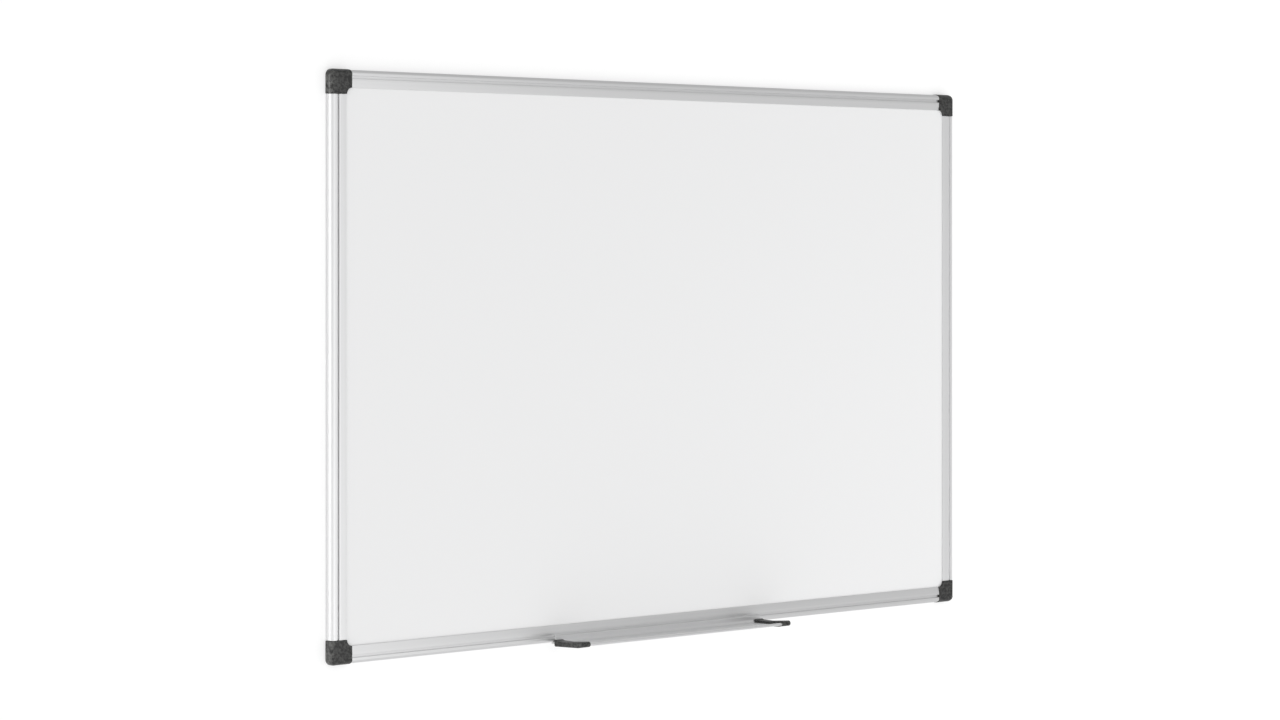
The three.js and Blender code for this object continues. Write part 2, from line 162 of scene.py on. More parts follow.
# %% [markdown]
# A long moulding is a skin over a row of outlines with a flat lid at each end. The rows are one
# array, so the faces come from the numbering of a grid and no loop visits a point. Cuts, such as
# the hollow of a cover, are made by an exact boolean between two such bodies, because that leaves
# a closed wall of true thickness.

# %% Skins and bodies
SHARP_ANGLE = math.radians(32)


def skin(rows):
    """Faces over a stack of closed outlines: point c of a row joins c + 1 and the row above."""
    rows = np.asarray(rows, float)
    index = np.arange(rows.shape[0] * rows.shape[1]).reshape(rows.shape[:2])
    ahead = np.roll(index, -1, 1)
    faces = np.stack((index[:-1], ahead[:-1], ahead[1:], index[1:]), -1).reshape(-1, 4)
    return rows.reshape(-1, 3), faces.tolist()


def lid(*outlines):
    """Flat triangles inside the first outline and outside the others."""
    rings = [[Vector(point) for point in outline] for outline in outlines]
    return np.concatenate(outlines), [list(face) for face in tessellate_polygon(rings)]


def body(*parts):
    """One closed mesh from parts that meet edge to edge, with its faces pointing out."""
    counts = np.cumsum([0] + [len(points) for points, _ in parts])
    faces = [[i + start for i in face] for (_, part), start in zip(parts, counts) for face in part]
    mesh = bpy.data.meshes.new("body")
    mesh.from_pydata(np.concatenate([points for points, _ in parts]).tolist(), [], faces)
    return cleaned(mesh)


def cleaned(mesh):
    """Merges points that coincide, drops faces without area and turns the faces outwards."""
    work = bmesh.new()
    work.from_mesh(mesh)
    bmesh.ops.remove_doubles(work, verts=work.verts, dist=WELD)
    bmesh.ops.dissolve_degenerate(work, edges=work.edges, dist=WELD)
    bmesh.ops.recalc_face_normals(work, faces=work.faces)
    mesh["open_edges"] = sum(not edge.is_manifold for edge in work.edges)
    work.to_mesh(mesh)
    work.free()
    return mesh


def loft(rows, hole_rows=None):
    """Closed body over rows of outlines, with an optional hole that runs right through it."""
    rows = np.asarray(rows, float)
    if hole_rows is None:
        return body(skin(rows), lid(rows[0]), lid(rows[-1]))
    holes = np.asarray(hole_rows, float)
    return body(skin(rows), skin(holes), lid(rows[0], holes[0]), lid(rows[-1], holes[-1]))


def shaped(mesh, operation, *tools):
    """The mesh with each tool cut out of it or joined to it, by an exact boolean."""
    workpiece = new_object("workpiece", mesh)
    helpers = [workpiece]
    for tool_mesh in tools:
        tool = new_object("tool", tool_mesh)
        helpers.append(tool)
        modifier = workpiece.modifiers.new("boolean", "BOOLEAN")
        modifier.operation = operation
        modifier.solver = "EXACT"
        modifier.object = tool
    evaluated = workpiece.evaluated_get(bpy.context.evaluated_depsgraph_get())
    result = bpy.data.meshes.new_from_object(evaluated)
    for helper in helpers:
        bpy.data.objects.remove(helper)
    return cleaned(result)


def stood_up(x, y, q):
    """Drawing coordinates (x, y, q) as places in the frame, (x, -q, y)."""
    x, y, q = np.broadcast_arrays(x, y, q)
    return np.stack((x, -q, y), -1)


def quarter_turned(points, turns, x, y):
    """Points of the frame turned about the Y axis by right angles, then moved to (x, y)."""
    cosine, sine = [(1, 0), (0, 1), (-1, 0), (0, -1)][turns]
    across, depth, up = np.moveaxis(np.asarray(points, float), -1, 0)
    return np.stack((across * cosine - up * sine + x, depth, across * sine + up * cosine + y), -1)


def placed(mesh, turns, x, y):
    """A copy of a mesh turned by right angles and moved to (x, y) on the board."""
    copy = mesh.copy()
    points = np.zeros(len(copy.vertices) * 3)
    copy.vertices.foreach_get("co", points)
    copy.vertices.foreach_set("co", quarter_turned(points.reshape(-1, 3), turns, x, y).ravel())
    copy.update()
    return copy


def give_finish(mesh, finish):
    """One material for the whole mesh."""
    mesh.materials.clear()
    mesh.materials.append(finish)


def show(name, mesh, carrier, node, finish):
    """Puts a finished mesh into the scene in place of a node, smooth up to a sharp angle."""
    mesh.name = name
    mesh.shade_smooth()
    mesh.set_sharp_from_angle(angle=SHARP_ANGLE)
    give_finish(mesh, finish)
    piece = new_object(name, mesh)
    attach(piece, carrier)
    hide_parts(node)
    print(f"{name}: {len(mesh.polygons)} faces, {mesh.get('open_edges')} open edges")
    return piece


print("Skins, bodies and booleans ready")

# %% [markdown]
# A finish is a tree of nodes. Written out node by node it is long and hard to follow, so a few
# helpers add a node, set or link its inputs, and hand on its output.

# %% Node helpers


def add(tree, kind, inputs=(), **settings):
    """Adds a node, sets its properties, and sets or links its inputs by name or number."""
    node = tree.nodes.new(kind)
    for key, value in settings.items():
        setattr(node, key, value)
    for key, value in dict(inputs).items():
        if isinstance(value, bpy.types.NodeSocket):
            tree.links.new(value, node.inputs[key])
        else:
            node.inputs[key].default_value = value
    return node


def new_group(name, inputs, outputs):
    """Empty shader group with named sockets, given as {name: (type, default)} and {name: type}."""
    tree = bpy.data.node_groups.new(name, "ShaderNodeTree")
    for title, (kind, default) in inputs.items():
        socket = tree.interface.new_socket(title, in_out="INPUT", socket_type=kind)
        if default is not None:
            socket.default_value = default
    for title, kind in outputs.items():
        tree.interface.new_socket(title, in_out="OUTPUT", socket_type=kind)
    return tree, tree.nodes.new("NodeGroupInput").outputs, tree.nodes.new("NodeGroupOutput")


def bare_tree(holder):
    """Empty node tree of a new material or world."""
    holder.use_nodes = True
    holder.node_tree.nodes.clear()
    return holder.node_tree


def reckon(tree, operation, first, *others):
    """All the values joined by one operation of the Math node, such as their sum."""
    for other in others:
        first = add(tree, "ShaderNodeMath", {0: first, 1: other}, operation=operation).outputs[0]
    return first


def blend(tree, first, second, share):
    """The first height times its share, plus the second times one less that share."""
    parts = reckon(tree, "MULTIPLY", first, share), reckon(tree, "MULTIPLY", second, 1 - share)
    return reckon(tree, "ADD", *parts)


def ramp(tree, value, first, last, low, high, kind="LINEAR"):
    """The low value before the first mark, the high value after the last, and a ramp between."""
    ends = {"Value": value, "From Min": first, "From Max": last, "To Min": low, "To Max": high}
    return add(tree, "ShaderNodeMapRange", ends, interpolation_type=kind).outputs["Result"]


def spread(tree, value, low, high):
    """A number from 0 to 1 mapped to the range from low to high."""
    return ramp(tree, value, 0.0, 1.0, low, high)


def noise(tree, vector, scale, detail=2.0, roughness=0.5):
    """Output of a Noise Texture, about 0.5 on average."""
    sockets = {"Vector": vector, "Scale": scale, "Detail": detail, "Roughness": roughness}
    return add(tree, "ShaderNodeTexNoise", sockets).outputs["Fac"]


def stretched(tree, vector, scale):
    """The vector scaled along each axis. A scale far below one draws a pattern out into lines."""
    return add(tree, "ShaderNodeMapping", {"Vector": vector, "Scale": scale}).outputs["Vector"]


print("Node helpers ready")

# %% [markdown]
# Fine detail in a finish repeats between materials: drawn lines along an extrusion, the spark
# grain of a mould, and the uneven sheen that hands and cloths leave. Each is a node group with
# named inputs, built once. A group gives only numbers that change over the surface, and every
# shader stays in its own material.

# %% Shared groups: drawn lines, mould grain, handling
FLOAT, VECTOR = "NodeSocketFloat", "NodeSocketVector"
FINE_SHARE, PIT_SHARE = 0.7, 0.6
HANDLING_STRETCH, HANDLING_EDGES = (0.35, 1.0, 1.0), (0.35, 0.7)


def drawn_lines_group():
    """Lines along a drawn section: noise that is stretched by the Mapping node before it."""
    sockets = {"Vector": (VECTOR, None), "Fine": (FLOAT, 2500.0), "Broad": (FLOAT, 350.0)}
    tree, given, result = new_group("drawn_lines", sockets, {"Height": FLOAT, "Tone": FLOAT})
    fine = noise(tree, given["Vector"], given["Fine"], detail=3.0, roughness=0.6)
    broad = noise(tree, given["Vector"], given["Broad"])
    tree.links.new(blend(tree, fine, broad, FINE_SHARE), result.inputs["Height"])
    tree.links.new(broad, result.inputs["Tone"])
    return tree


def mould_grain_group():
    """Spark-eroded grain: rounded Voronoi pits roughened by noise, with a slower mottle."""
    sockets = {
        "Vector": (VECTOR, None),
        "Pits per metre": (FLOAT, 3200.0),
        "Mottle per metre": (FLOAT, 700.0),
    }
    tree, given, result = new_group("mould_grain", sockets, {"Height": FLOAT, "Mottle": FLOAT})
    cells = {"Vector": given["Vector"], "Scale": given["Pits per metre"], "Smoothness": 0.6}
    pits = add(tree, "ShaderNodeTexVoronoi", cells, feature="SMOOTH_F1").outputs["Distance"]
    rough = noise(tree, given["Vector"], given["Pits per metre"], detail=3.0, roughness=0.6)
    tree.links.new(blend(tree, pits, rough, PIT_SHARE), result.inputs["Height"])
    mottle = noise(tree, given["Vector"], given["Mottle per metre"], detail=3.0, roughness=0.65)
    tree.links.new(mottle, result.inputs["Mottle"])
    return tree


def handling_group():
    """Uneven sheen from hands and cloths: broad, soft noise drawn out a little along X."""
    sockets = {"Vector": (VECTOR, None), "Marks per metre": (FLOAT, 14.0)}
    tree, given, result = new_group("handling", sockets, {"Mask": FLOAT})
    streak = stretched(tree, given["Vector"], HANDLING_STRETCH)
    cloud = noise(tree, streak, given["Marks per metre"], detail=4.0, roughness=0.55)
    mask = ramp(tree, cloud, *HANDLING_EDGES, 0.0, 1.0, "SMOOTHSTEP")
    tree.links.new(mask, result.inputs["Mask"])
    return tree


drawn_lines, mould_grain, handling = drawn_lines_group(), mould_grain_group(), handling_group()
print("Groups", drawn_lines.name, mould_grain.name, handling.name)

# %% [markdown]
# Every finish is a Principled BSDF that reads Object coordinates, so a pattern has its true size
# in metres and stays on the piece when the piece moves. Constant values are set on the shader's
# own sockets, and only what changes over the surface is linked.

# %% Material helpers


def new_material(name, **constants):
    """Material with a Principled BSDF whose constant values are set on its own sockets."""
    material = bpy.data.materials.new(name)
    material.use_nodes = True
    tree = material.node_tree
    shader = tree.nodes["Principled BSDF"]
    for key, value in constants.items():
        shader.inputs[key.replace("_", " ")].default_value = value
    place = add(tree, "ShaderNodeTexCoord").outputs["Object"]
    return material, tree, shader, place


def feed(tree, shader, **outputs):
    """Links each node output to the shader's input of that name."""
    for key, value in outputs.items():
        tree.links.new(value, shader.inputs[key.replace("_", " ")])


def use_group(tree, group, vector, **inputs):
    """Outputs of a shared group placed in a material with its own values."""
    values = {key.replace("_", " "): value for key, value in inputs.items()}
    return add(tree, "ShaderNodeGroup", {"Vector": vector, **values}, node_tree=group).outputs


def tint(tree, mask, first, second):
    """Colour between two colours, by a mask from 0 to 1."""
    node = add(tree, "ShaderNodeMix", {0: mask}, data_type="RGBA")
    ends = [socket for socket in node.inputs if socket.type == "RGBA"]
    for socket, colour in zip(ends, (first, second)):
        socket.default_value = (*colour, 1.0)
    return next(socket for socket in node.outputs if socket.type == "RGBA")


def bump(tree, height, metres, strength, **normal):
    """Normal of a Bump node, whose height of 1 stands for so many metres. It may start from the
    Normal of another bump."""
    relief = {"Height": height, "Distance": metres, "Strength": strength, **normal}
    return add(tree, "ShaderNodeBump", relief).outputs["Normal"]


print("Material helpers ready")

# %% [markdown]
# The writing side is sheet steel with a baked white lacquer. It is smooth, but not a mirror: the
# lacquer settles with a faint orange peel. That is far too small to model, so it is a bump.

# %% Finish: lacquered steel
LACQUER = {"Base_Color": (0.846, 0.847, 0.850, 1.0), "Roughness": 0.28, "IOR": 1.5}
PEEL_PER_METRE, PEEL_HEIGHT = 260.0, 0.01 * MM


def lacquered_steel():
    """White lacquer with a faint orange peel."""
    material, tree, shader, place = new_material("lacquered_steel", **LACQUER)
    peel = noise(tree, place, PEEL_PER_METRE, roughness=0.4)
    feed(tree, shader, Normal=bump(tree, peel, metres=PEEL_HEIGHT, strength=0.6))
    return material


# %% [markdown]
# The rails and the tray are drawn through a die, etched matt and anodised. The die leaves fine
# lines along the length, and the etch a soft, even grain. The lines are noise that is stretched
# along the rail, so the flat rails and the upright ones each need their own direction.

# %% Finish: anodised aluminium
ALUMINIUM_DARK = (0.785, 0.787, 0.791)
ALUMINIUM_PALE = (0.840, 0.841, 0.845)
ALUMINIUM = {"Metallic": 1.0, "Anisotropic": 0.7}
ALUMINIUM_SHEEN, SHEEN_STREAK = (0.36, 0.40), 0.03
ALONG_X, ALONG_Z = (0.004, 1.0, 1.0), (1.0, 1.0, 0.004)
LINE_HEIGHT = 0.02 * MM
ETCH_PER_METRE, ETCH_HEIGHT = 7000.0, 0.006 * MM


def anodised_aluminium(name, stretch, axis):
    """Matt anodised extrusion whose lines run along the axis, which has the small scale.

    The lines are finer than a pixel from a few steps away, so the shader also spreads its
    reflection across them, around the axis that they run along.
    """
    material, tree, shader, place = new_material(name, **ALUMINIUM)
    around = add(tree, "ShaderNodeTangent", direction_type="RADIAL", axis=axis)
    lines = use_group(tree, drawn_lines, stretched(tree, place, stretch))
    handled = use_group(tree, handling, place, Marks_per_metre=9.0)["Mask"]
    worn = spread(tree, handled, *ALUMINIUM_SHEEN)
    streaked = spread(tree, lines["Tone"], -SHEEN_STREAK, SHEEN_STREAK)
    etch = noise(tree, place, ETCH_PER_METRE, roughness=0.6)
    etched = bump(tree, etch, metres=ETCH_HEIGHT, strength=0.5)
    feed(
        tree,
        shader,
        Base_Color=tint(tree, lines["Tone"], ALUMINIUM_DARK, ALUMINIUM_PALE),
        Roughness=reckon(tree, "ADD", worn, streaked),
        Normal=bump(tree, lines["Height"], metres=LINE_HEIGHT, strength=0.5, Normal=etched),
        Tangent=around.outputs["Tangent"],
    )
    return material


# %% [markdown]
# The corner covers and the tray's end caps are moulded in dark grey plastic. The steel of the
# mould is spark eroded, which prints a fine grain on the part, and the plastic itself is mottled
# from one flow to the next. The hidden connectors are of a smoother black nylon.

# %% Finishes: grained plastic and nylon
PLASTIC_DARK = (0.003, 0.003, 0.003)
PLASTIC_PALE = (0.047, 0.047, 0.045)
PLASTIC_SHEEN, FLOW_EDGES = (0.32, 0.42), (0.40, 0.61)
NYLON_DARK, NYLON_PALE = (0.018, 0.018, 0.019), (0.034, 0.034, 0.034)
NYLON_SHEEN = (0.36, 0.52)


def anthracite_plastic():
    """Dark grey plastic with a spark-eroded grain."""
    material, tree, shader, place = new_material("anthracite_plastic", IOR=1.5)
    grain = use_group(tree, mould_grain, place, Mottle_per_metre=330.0)
    handled = use_group(tree, handling, place, Marks_per_metre=60.0)["Mask"]
    flow = ramp(tree, grain["Mottle"], *FLOW_EDGES, 0.0, 1.0)
    feed(
        tree,
        shader,
        Base_Color=tint(tree, flow, PLASTIC_DARK, PLASTIC_PALE),
        Roughness=spread(tree, handled, *PLASTIC_SHEEN),
        Normal=bump(tree, grain["Height"], metres=0.06 * MM, strength=0.7),
    )
    return material


def black_plastic():
    """Black nylon of the connectors: smoother than the covers, with faint flow marks."""
    material, tree, shader, place = new_material("black_plastic", IOR=1.53)
    grain = use_group(tree, mould_grain, place, Pits_per_metre=5200.0, Mottle_per_metre=160.0)
    feed(
        tree,
        shader,
        Base_Color=tint(tree, grain["Mottle"], NYLON_DARK, NYLON_PALE),
        Roughness=spread(tree, grain["Mottle"], *NYLON_SHEEN),
        Normal=bump(tree, grain["Height"], metres=0.02 * MM, strength=0.5),
    )
    return material


# %% [markdown]
# Behind the face are the pieces that only the installer sees: zinc-plated screws, the fibreboard
# core and the foil that closes the back. Zinc has a faint yellow and blue cast that wanders, the
# core shows its pressed fibres, and the foil has rolling lines and soft creases.

# %% Finishes: zinc, fibreboard, foil
ZINC_WARM, ZINC_COOL = (0.60, 0.56, 0.47), (0.55, 0.58, 0.60)
WOOD_DARK, WOOD_PALE = (0.23, 0.145, 0.075), (0.52, 0.37, 0.22)
FOIL_DARK, FOIL_PALE = (0.55, 0.55, 0.56), (0.66, 0.66, 0.67)
ZINC_SHEEN, WOOD_SHEEN, FOIL_SHEEN = (0.22, 0.42), (0.75, 0.95), (0.34, 0.48)
FIBRES_LYING = (0.5, 3.0, 1.0)


def zinc_plated_steel():
    """Bright zinc with a wandering warm and cool cast."""
    material, tree, shader, place = new_material("zinc_plated_steel", Metallic=1.0)
    cast = noise(tree, place, scale=420.0, detail=3.0, roughness=0.6)
    pits = use_group(tree, mould_grain, place, Pits_per_metre=6000.0, Mottle_per_metre=900.0)
    feed(
        tree,
        shader,
        Base_Color=tint(tree, cast, ZINC_WARM, ZINC_COOL),
        Roughness=spread(tree, pits["Mottle"], *ZINC_SHEEN),
        Normal=bump(tree, pits["Height"], metres=0.015 * MM, strength=0.6),
    )
    return material


def fibreboard():
    """Pressed wood fibres: short dark and pale flecks that lie in the board's plane."""
    material, tree, shader, place = new_material("fibreboard", IOR=1.45)
    lying = stretched(tree, place, FIBRES_LYING)
    fibres = noise(tree, lying, scale=1400.0, detail=5.0, roughness=0.7)
    feed(
        tree,
        shader,
        Base_Color=tint(tree, fibres, WOOD_DARK, WOOD_PALE),
        Roughness=spread(tree, fibres, *WOOD_SHEEN),
        Normal=bump(tree, fibres, metres=0.12 * MM, strength=0.8),
    )
    return material


def backing_foil():
    """Rolled foil glued to the core, with soft creases and print-through of the fibres."""
    material, tree, shader, place = new_material("backing_foil", Metallic=1.0)
    lines = use_group(tree, drawn_lines, stretched(tree, place, ALONG_X), Fine=1800.0, Broad=160.0)
    creases = noise(tree, place, scale=38.0, detail=4.0)
    fibres = noise(tree, place, scale=700.0, detail=3.0, roughness=0.6)
    handled = use_group(tree, handling, place, Marks_per_metre=11.0)["Mask"]
    soft = bump(tree, creases, metres=0.5 * MM, strength=0.35)
    printed = bump(tree, fibres, metres=0.02 * MM, strength=0.6, Normal=soft)
    feed(
        tree,
        shader,
        Base_Color=tint(tree, lines["Tone"], FOIL_DARK, FOIL_PALE),
        Roughness=spread(tree, handled, *FOIL_SHEEN),
        Normal=bump(tree, lines["Height"], metres=0.01 * MM, strength=0.5, Normal=printed),
    )
    return material


LACQUERED, GRAINED, NYLON = lacquered_steel(), anthracite_plastic(), black_plastic()
ZINC, FIBRE, FOIL = zinc_plated_steel(), fibreboard(), backing_foil()
ALUMINIUM_FLAT = anodised_aluminium("anodised_aluminium", ALONG_X, "X")
ALUMINIUM_UPRIGHT = anodised_aluminium("anodised_aluminium_upright", ALONG_Z, "Z")
print("Finishes", len(bpy.data.materials))

# %% [markdown]
# The panel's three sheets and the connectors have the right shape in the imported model: flat
# sheets stay flat, and the connectors are hidden blocks with pockets. They keep their meshes and
# only get their finishes.

# %% Panel and connectors
CARRIED = {"writing_sheet": LACQUERED, "panel_core": FIBRE, "backing_sheet": FOIL}
CORNERS = ["bottom_left", "bottom_right", "top_right", "top_left"]
CARRIED.update({f"corner_connector_{place}": NYLON for place in CORNERS})
for node, finish in CARRIED.items():
    give_finish(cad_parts[node].data, finish)
print("Finished", ", ".join(CARRIED))

# %% [markdown]
# A rail is one section drawn out to four lengths. From the outside in, the front of the section
# has a rounded nose, a flat band, a slot whose inner side is undercut for the tray's hook, a
# ridge, and a lip that slopes down to the panel. Behind the lip is the pocket for the panel, and
# behind the slot the square hollow for the connectors' legs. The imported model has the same
# section with a circular nose. On the upright rails the light shows a nose that reaches further
# back, so here it is a quarter of an ellipse. The sawn ends are deburred by drawing the last
# outline in a little.

# %% Rails
NOSE_RADIUS, NOSE_DEPTH = 4 * MM, 7 * MM
SMALL_RADIUS = 0.3 * MM
RAIL_WALL = 1.2 * MM
BACK_LIP = 15 * MM
SLOT_START, SLOT_WIDTH, SLOT_DEPTH = 6.2 * MM, 3 * MM, 1.8 * MM
SLOT_UNDERCUT, SLOT_LIP, SLOT_END_WALL = 1 * MM, 0.7 * MM, 1 * MM
RIDGE_WIDTH, RIDGE_RADIUS, LIP_TIP = 2.3 * MM, 0.8 * MM, 0.7 * MM
CHAMBER_RADIUS = 2.2 * MM
DEBURR = 0.12 * MM
SLOT_END = SLOT_START + SLOT_WIDTH
SLOT_FLOOR = RAIL_DEPTH - SLOT_DEPTH
WEB_END = SLOT_END + SLOT_UNDERCUT + SLOT_END_WALL
CHAMBER_END, CHAMBER_TOP = WEB_END - RAIL_WALL, SLOT_FLOOR - RAIL_WALL
LIP_UNDERSIDE = SHEET_FRONT + SEAT_GAP
SECTION_STEPS = 12


def nose_arc():
    """Quarter of an ellipse from the front band to the side: the nose's reach across and off the
    wall times the cosine and sine of even angles."""
    circle = arc(0, 0, 1, QUARTER, 2 * QUARTER, 2 * SECTION_STEPS)
    points = circle * (NOSE_RADIUS, NOSE_DEPTH) + (NOSE_RADIUS, RAIL_DEPTH - NOSE_DEPTH)
    return [tuple(point) for point in points]


def rail_section():
    """Outline of the rail as (distance from the outer face, distance off the wall)."""
    return rounded([
        (0, 0, SMALL_RADIUS),
        (BACK_LIP, 0, SMALL_RADIUS),
        (BACK_LIP, RAIL_WALL, SMALL_RADIUS),
        (WEB_END, RAIL_WALL, SMALL_RADIUS),
        (WEB_END, LIP_UNDERSIDE),
        (RAIL_FACE, LIP_UNDERSIDE, SMALL_RADIUS),
        (RAIL_FACE, LIP_UNDERSIDE + LIP_TIP, SMALL_RADIUS),
        (SLOT_END + RIDGE_WIDTH, RAIL_DEPTH, RIDGE_RADIUS),
        (SLOT_END, RAIL_DEPTH, SMALL_RADIUS),
        (SLOT_END, RAIL_DEPTH - SLOT_LIP),
        (SLOT_END + SLOT_UNDERCUT, RAIL_DEPTH - SLOT_LIP),
        (SLOT_END + SLOT_UNDERCUT, SLOT_FLOOR),
        (SLOT_START, SLOT_FLOOR, SMALL_RADIUS),
        (SLOT_START, RAIL_DEPTH, SMALL_RADIUS),
        *nose_arc(),
    ], SECTION_STEPS)


def chamber_section():
    """Outline of the hollow that takes a connector's leg."""
    return rounded([
        (RAIL_WALL, RAIL_WALL, SMALL_RADIUS),
        (CHAMBER_END, RAIL_WALL, SMALL_RADIUS),
        (CHAMBER_END, CHAMBER_TOP, SMALL_RADIUS),
        (RAIL_WALL, CHAMBER_TOP, CHAMBER_RADIUS),
    ], SECTION_STEPS)


def drawn_out(outline, half_length):
    """Rows of an outline along x, from minus to plus half the length, drawn in at both ends."""
    inner = half_length - DEBURR
    stations = ((-half_length, DEBURR), (-inner, 0), (inner, 0), (half_length, DEBURR))
    sections = [(x, drawn_in(outline, inset)) for x, inset in stations]
    return [stood_up(x, section[:, 0], section[:, 1]) for x, section in sections]


def rail(node, axis):
    """Fine rail, drawn along x for the bottom side, as long as the node is along its axis. The
    hollow keeps its full section at the ends, and only the outside is deburred."""
    low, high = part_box(node)
    half_length = (high[axis] - low[axis]) / 2
    hollow = drawn_out(chamber_section(), half_length)
    for end, inner in ((0, 1), (-1, -2)):
        hollow[end][:, 1:] = hollow[inner][:, 1:]
    return loft(drawn_out(rail_section(), half_length), hollow)


MIDDLE_X, MIDDLE_Z = (BOARD_LEFT + BOARD_RIGHT) / 2, (BOARD_BOTTOM + BOARD_TOP) / 2
RAILS = [
    ("rail_bottom", 0, MIDDLE_X, BOARD_BOTTOM, ALUMINIUM_FLAT),
    ("rail_right", 2, BOARD_RIGHT, MIDDLE_Z, ALUMINIUM_UPRIGHT),
    ("rail_top", 0, MIDDLE_X, BOARD_TOP, ALUMINIUM_FLAT),
    ("rail_left", 2, BOARD_LEFT, MIDDLE_Z, ALUMINIUM_UPRIGHT),
]
for turns, (node, axis, x, y, finish) in enumerate(RAILS):
    extrusion = placed(rail(node, axis), turns, x, y)
    show(f"{node}_extrusion", extrusion, "board", node, finish)

# %% [markdown]
# A corner cover is a thin moulded cap. Seen from the front it is a square with a rounded outer
# corner and a concave bite at the inner one, and its outer sides roll over with the same nose as
# the rails. It is a loft: one plan outline per height, whose outer sides move in along the nose.
# The same loft, drawn in by the wall, cuts the hollow, and two pegs grow from the roof.

# %% Corner covers
cover_low, cover_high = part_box("corner_cover_bottom_left")
COVER_PROUD = BOARD_LEFT - cover_low.x
COVER_ARM = cover_high.x - BOARD_LEFT
COVER_FRONT = -cover_low.y
COVER_BACK = -cover_high.y
COVER_WALL = 1.4 * MM
COVER_CORNER_RADIUS = 6.5 * MM
COVER_END_RADIUS = 0.6 * MM
COVER_EDGE_RADIUS = 0.5 * MM
NOTCH_RADIUS = 6.2 * MM
PEG_RADIUS, PEG_LENGTH, PEG_TAPER, PEG_ALONG = 1.6 * MM, 6 * MM, 0.6 * MM, 19 * MM
CAVITY_SIDE, CAVITY_TOP = COVER_WALL - COVER_PROUD, COVER_FRONT - COVER_WALL
ARM_MIDDLE = (CAVITY_SIDE + SEAT_GAP + WEB_END) / 2
OVERRUN, RIM_OVERRUN = 5 * MM, 2 * MM
CAVITY_FLOOR = RAIL_DEPTH - NOSE_RADIUS - RIM_OVERRUN
PLAN_STEPS, HEIGHT_STEPS, EDGE_STEPS, ROUND_STEPS = 14, 14, 6, 48


def corner_plan(side, end):
    """Outline of a corner moulding at one height, its outer corner near the origin.

    Four arcs joined by straight sides: the outer corner, one arm end, the concave bite about
    the point where both arms end, and the other arm end.
    """
    reach = COVER_ARM - end
    corner = COVER_CORNER_RADIUS - COVER_PROUD - side
    bite = NOTCH_RADIUS + end
    tuck = math.asin(end / bite)
    near, far = side + COVER_END_RADIUS, reach - COVER_END_RADIUS
    return np.concatenate((
        arc(side + corner, side + corner, corner, 2 * QUARTER, 3 * QUARTER, PLAN_STEPS),
        arc(far, near, COVER_END_RADIUS, -QUARTER, 0, PLAN_STEPS),
        arc(COVER_ARM, COVER_ARM, bite, 3 * QUARTER - tuck, 2 * QUARTER + tuck, PLAN_STEPS),
        arc(near, far, COVER_END_RADIUS, QUARTER, 2 * QUARTER, PLAN_STEPS),
    ))


def corner_loft(side, end, low, high, edge=0.0, depth=NOSE_RADIUS):
    """Body on that plan. Above the start of the nose its sides move in by the nose's reach across
    less that reach times the cosine of the angle whose sine is the height over its rise."""
    across, rise, start = NOSE_RADIUS - side, depth - side, RAIL_DEPTH - depth
    first, last = [math.asin(min(1, max(0, (q - start) / rise))) for q in (low, high)]
    heights = start + rise * np.sin(np.linspace(first, last, HEIGHT_STEPS + 1))
    if edge:
        rim = high - edge + edge * np.sin(np.linspace(0, QUARTER, EDGE_STEPS + 1))
        heights = np.concatenate((heights, rim))
    if low < start:
        heights = np.append(heights, low)
    rows = []
    for q in np.unique(np.round(np.clip(heights, low, high) / WELD) * WELD):
        angle = math.asin(min(1, max(0, (q - start) / rise)))
        above = max(0, q - (high - edge))
        softened = edge - math.sqrt(max(0, edge * edge - above * above))
        plan = corner_plan(NOSE_RADIUS - across * math.cos(angle), end + softened)
        rows.append(stood_up(plan[:, 0], plan[:, 1], q))
    return loft(rows)


def turned(profile, x, y):
    """Body of revolution about a line off the wall at (x, y), from rows of (radius, q)."""
    angle = np.linspace(0, 2 * math.pi, ROUND_STEPS, endpoint=False)
    return loft([stood_up(x + r * np.cos(angle), y + r * np.sin(angle), q) for r, q in profile])


def corner_cover():
    """Hollow cover with its two pegs."""
    shell = shaped(
        corner_loft(-COVER_PROUD, 0, COVER_BACK, COVER_FRONT, COVER_EDGE_RADIUS, NOSE_DEPTH),
        "DIFFERENCE",
        corner_loft(CAVITY_SIDE, -RIM_OVERRUN, -OVERRUN, LIP_UNDERSIDE),
        corner_loft(CAVITY_SIDE, COVER_WALL, CAVITY_FLOOR, CAVITY_TOP),
    )
    peg = [
        (PEG_RADIUS - PEG_TAPER, CAVITY_TOP - PEG_LENGTH),
        (PEG_RADIUS, CAVITY_TOP - PEG_LENGTH + PEG_TAPER),
        (PEG_RADIUS, CAVITY_TOP + COVER_WALL / 2),
    ]
    pegs = turned(peg, PEG_ALONG, ARM_MIDDLE), turned(peg, ARM_MIDDLE, PEG_ALONG)
    return shaped(shell, "UNION", *pegs)


CORNER_PLACES = [
    (BOARD_LEFT, BOARD_BOTTOM),
    (BOARD_RIGHT, BOARD_BOTTOM),
    (BOARD_RIGHT, BOARD_TOP),
    (BOARD_LEFT, BOARD_TOP),
]
cover_mesh = corner_cover()
for turns, (name, (x, y)) in enumerate(zip(CORNERS, CORNER_PLACES)):
    node, moulding = f"corner_cover_{name}", placed(cover_mesh, turns, x, y)
    show(f"{node}_moulding", moulding, f"cover_{name}", node, GRAINED)

# %% [markdown]
# The wall screws are countersunk chipboard screws. The thread is one surface of angle and height:
# the radius is the core's plus a sharp wave that climbs by the pitch in each turn, so the ridge
# comes out as a helix. It fades in at the point and dies away under the head, and the cross
# recess is cut last.

